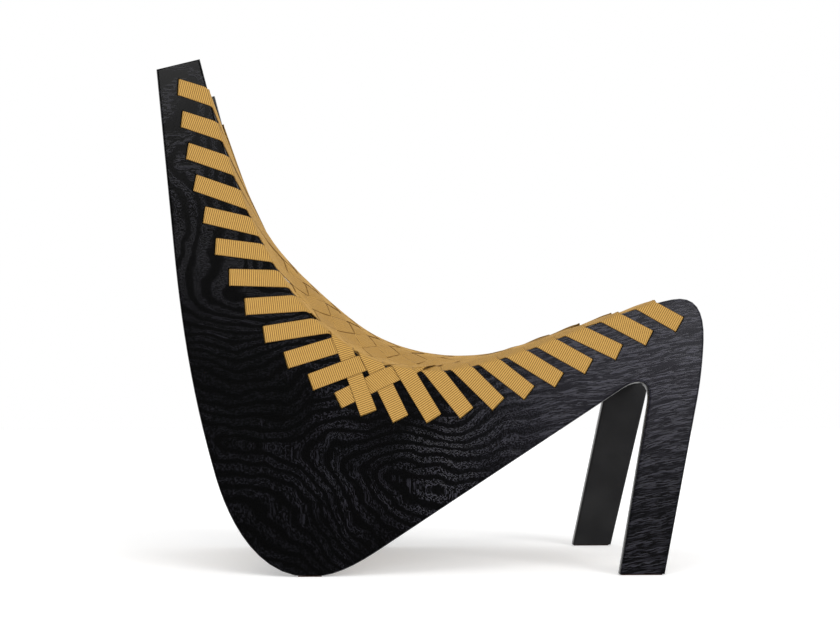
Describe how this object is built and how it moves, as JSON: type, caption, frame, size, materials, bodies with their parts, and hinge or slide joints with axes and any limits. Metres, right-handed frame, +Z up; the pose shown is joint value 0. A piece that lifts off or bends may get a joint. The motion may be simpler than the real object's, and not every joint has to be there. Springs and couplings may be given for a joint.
{
  "type": "lounge chair",
  "caption": "Lounge chair of two leaning plywood side panels joined by cross rails, with a seat and back woven on the bias from flat straps.",
  "frame": {"origin": "on the floor, in the middle of the chair's length and width", "axes": "+X forwards, from the back to the nose; +Y to the sitter's left; +Z up"},
  "size_m": [0.9604, 0.599, 0.9011],
  "materials": {
    "panel_wood": "black-stained open-grain oak veneer, satin",
    "webbing": "mustard ribbed webbing",
    "rail_wood": "black-stained, satin",
    "dowel_wood": "plain beech",
    "clamp_wood": "black-stained, satin",
    "screw_steel": "dark zinc",
    "pad": "brown felted rubber"
  },
  "bodies": {
    "root": {"panel_near": "panel_wood", "panel_far": "panel_wood", "strap_down_1": "webbing", "strap_down_2": "webbing", "strap_down_3": "webbing", "strap_down_4": "webbing", "strap_down_5": "webbing", "strap_down_6": "webbing", "strap_down_7": "webbing", "strap_down_8": "webbing", "strap_down_9": "webbing", "strap_down_10": "webbing", "strap_down_11": "webbing", "strap_down_12": "webbing", "strap_up_1": "webbing", "strap_up_2": "webbing", "strap_up_3": "webbing", "strap_up_4": "webbing", "strap_up_5": "webbing", "strap_up_6": "webbing", "strap_up_7": "webbing", "strap_up_8": "webbing", "strap_up_9": "webbing", "strap_up_10": "webbing", "strap_up_11": "webbing", "strap_up_12": "webbing", "top_rail": "rail_wood", "back_rail": "rail_wood", "heel_rail": "rail_wood", "seat_rail": "rail_wood", "nose_rail": "rail_wood", "back_dowels": "dowel_wood", "heel_dowels": "dowel_wood", "seat_dowels": "dowel_wood", "nose_dowels": "dowel_wood", "back_clamp_near": "clamp_wood", "seat_clamp_near": "clamp_wood", "back_clamp_far": "clamp_wood", "seat_clamp_far": "clamp_wood", "first_clamp_near": "clamp_wood", "first_clamp_far": "clamp_wood", "clamp_screws_near": "screw_steel", "clamp_screws_far": "screw_steel", "leg_glide_near": "pad", "heel_glide_near": "pad", "leg_glide_far": "pad", "heel_glide_far": "pad"}
  },
  "joints": []
}
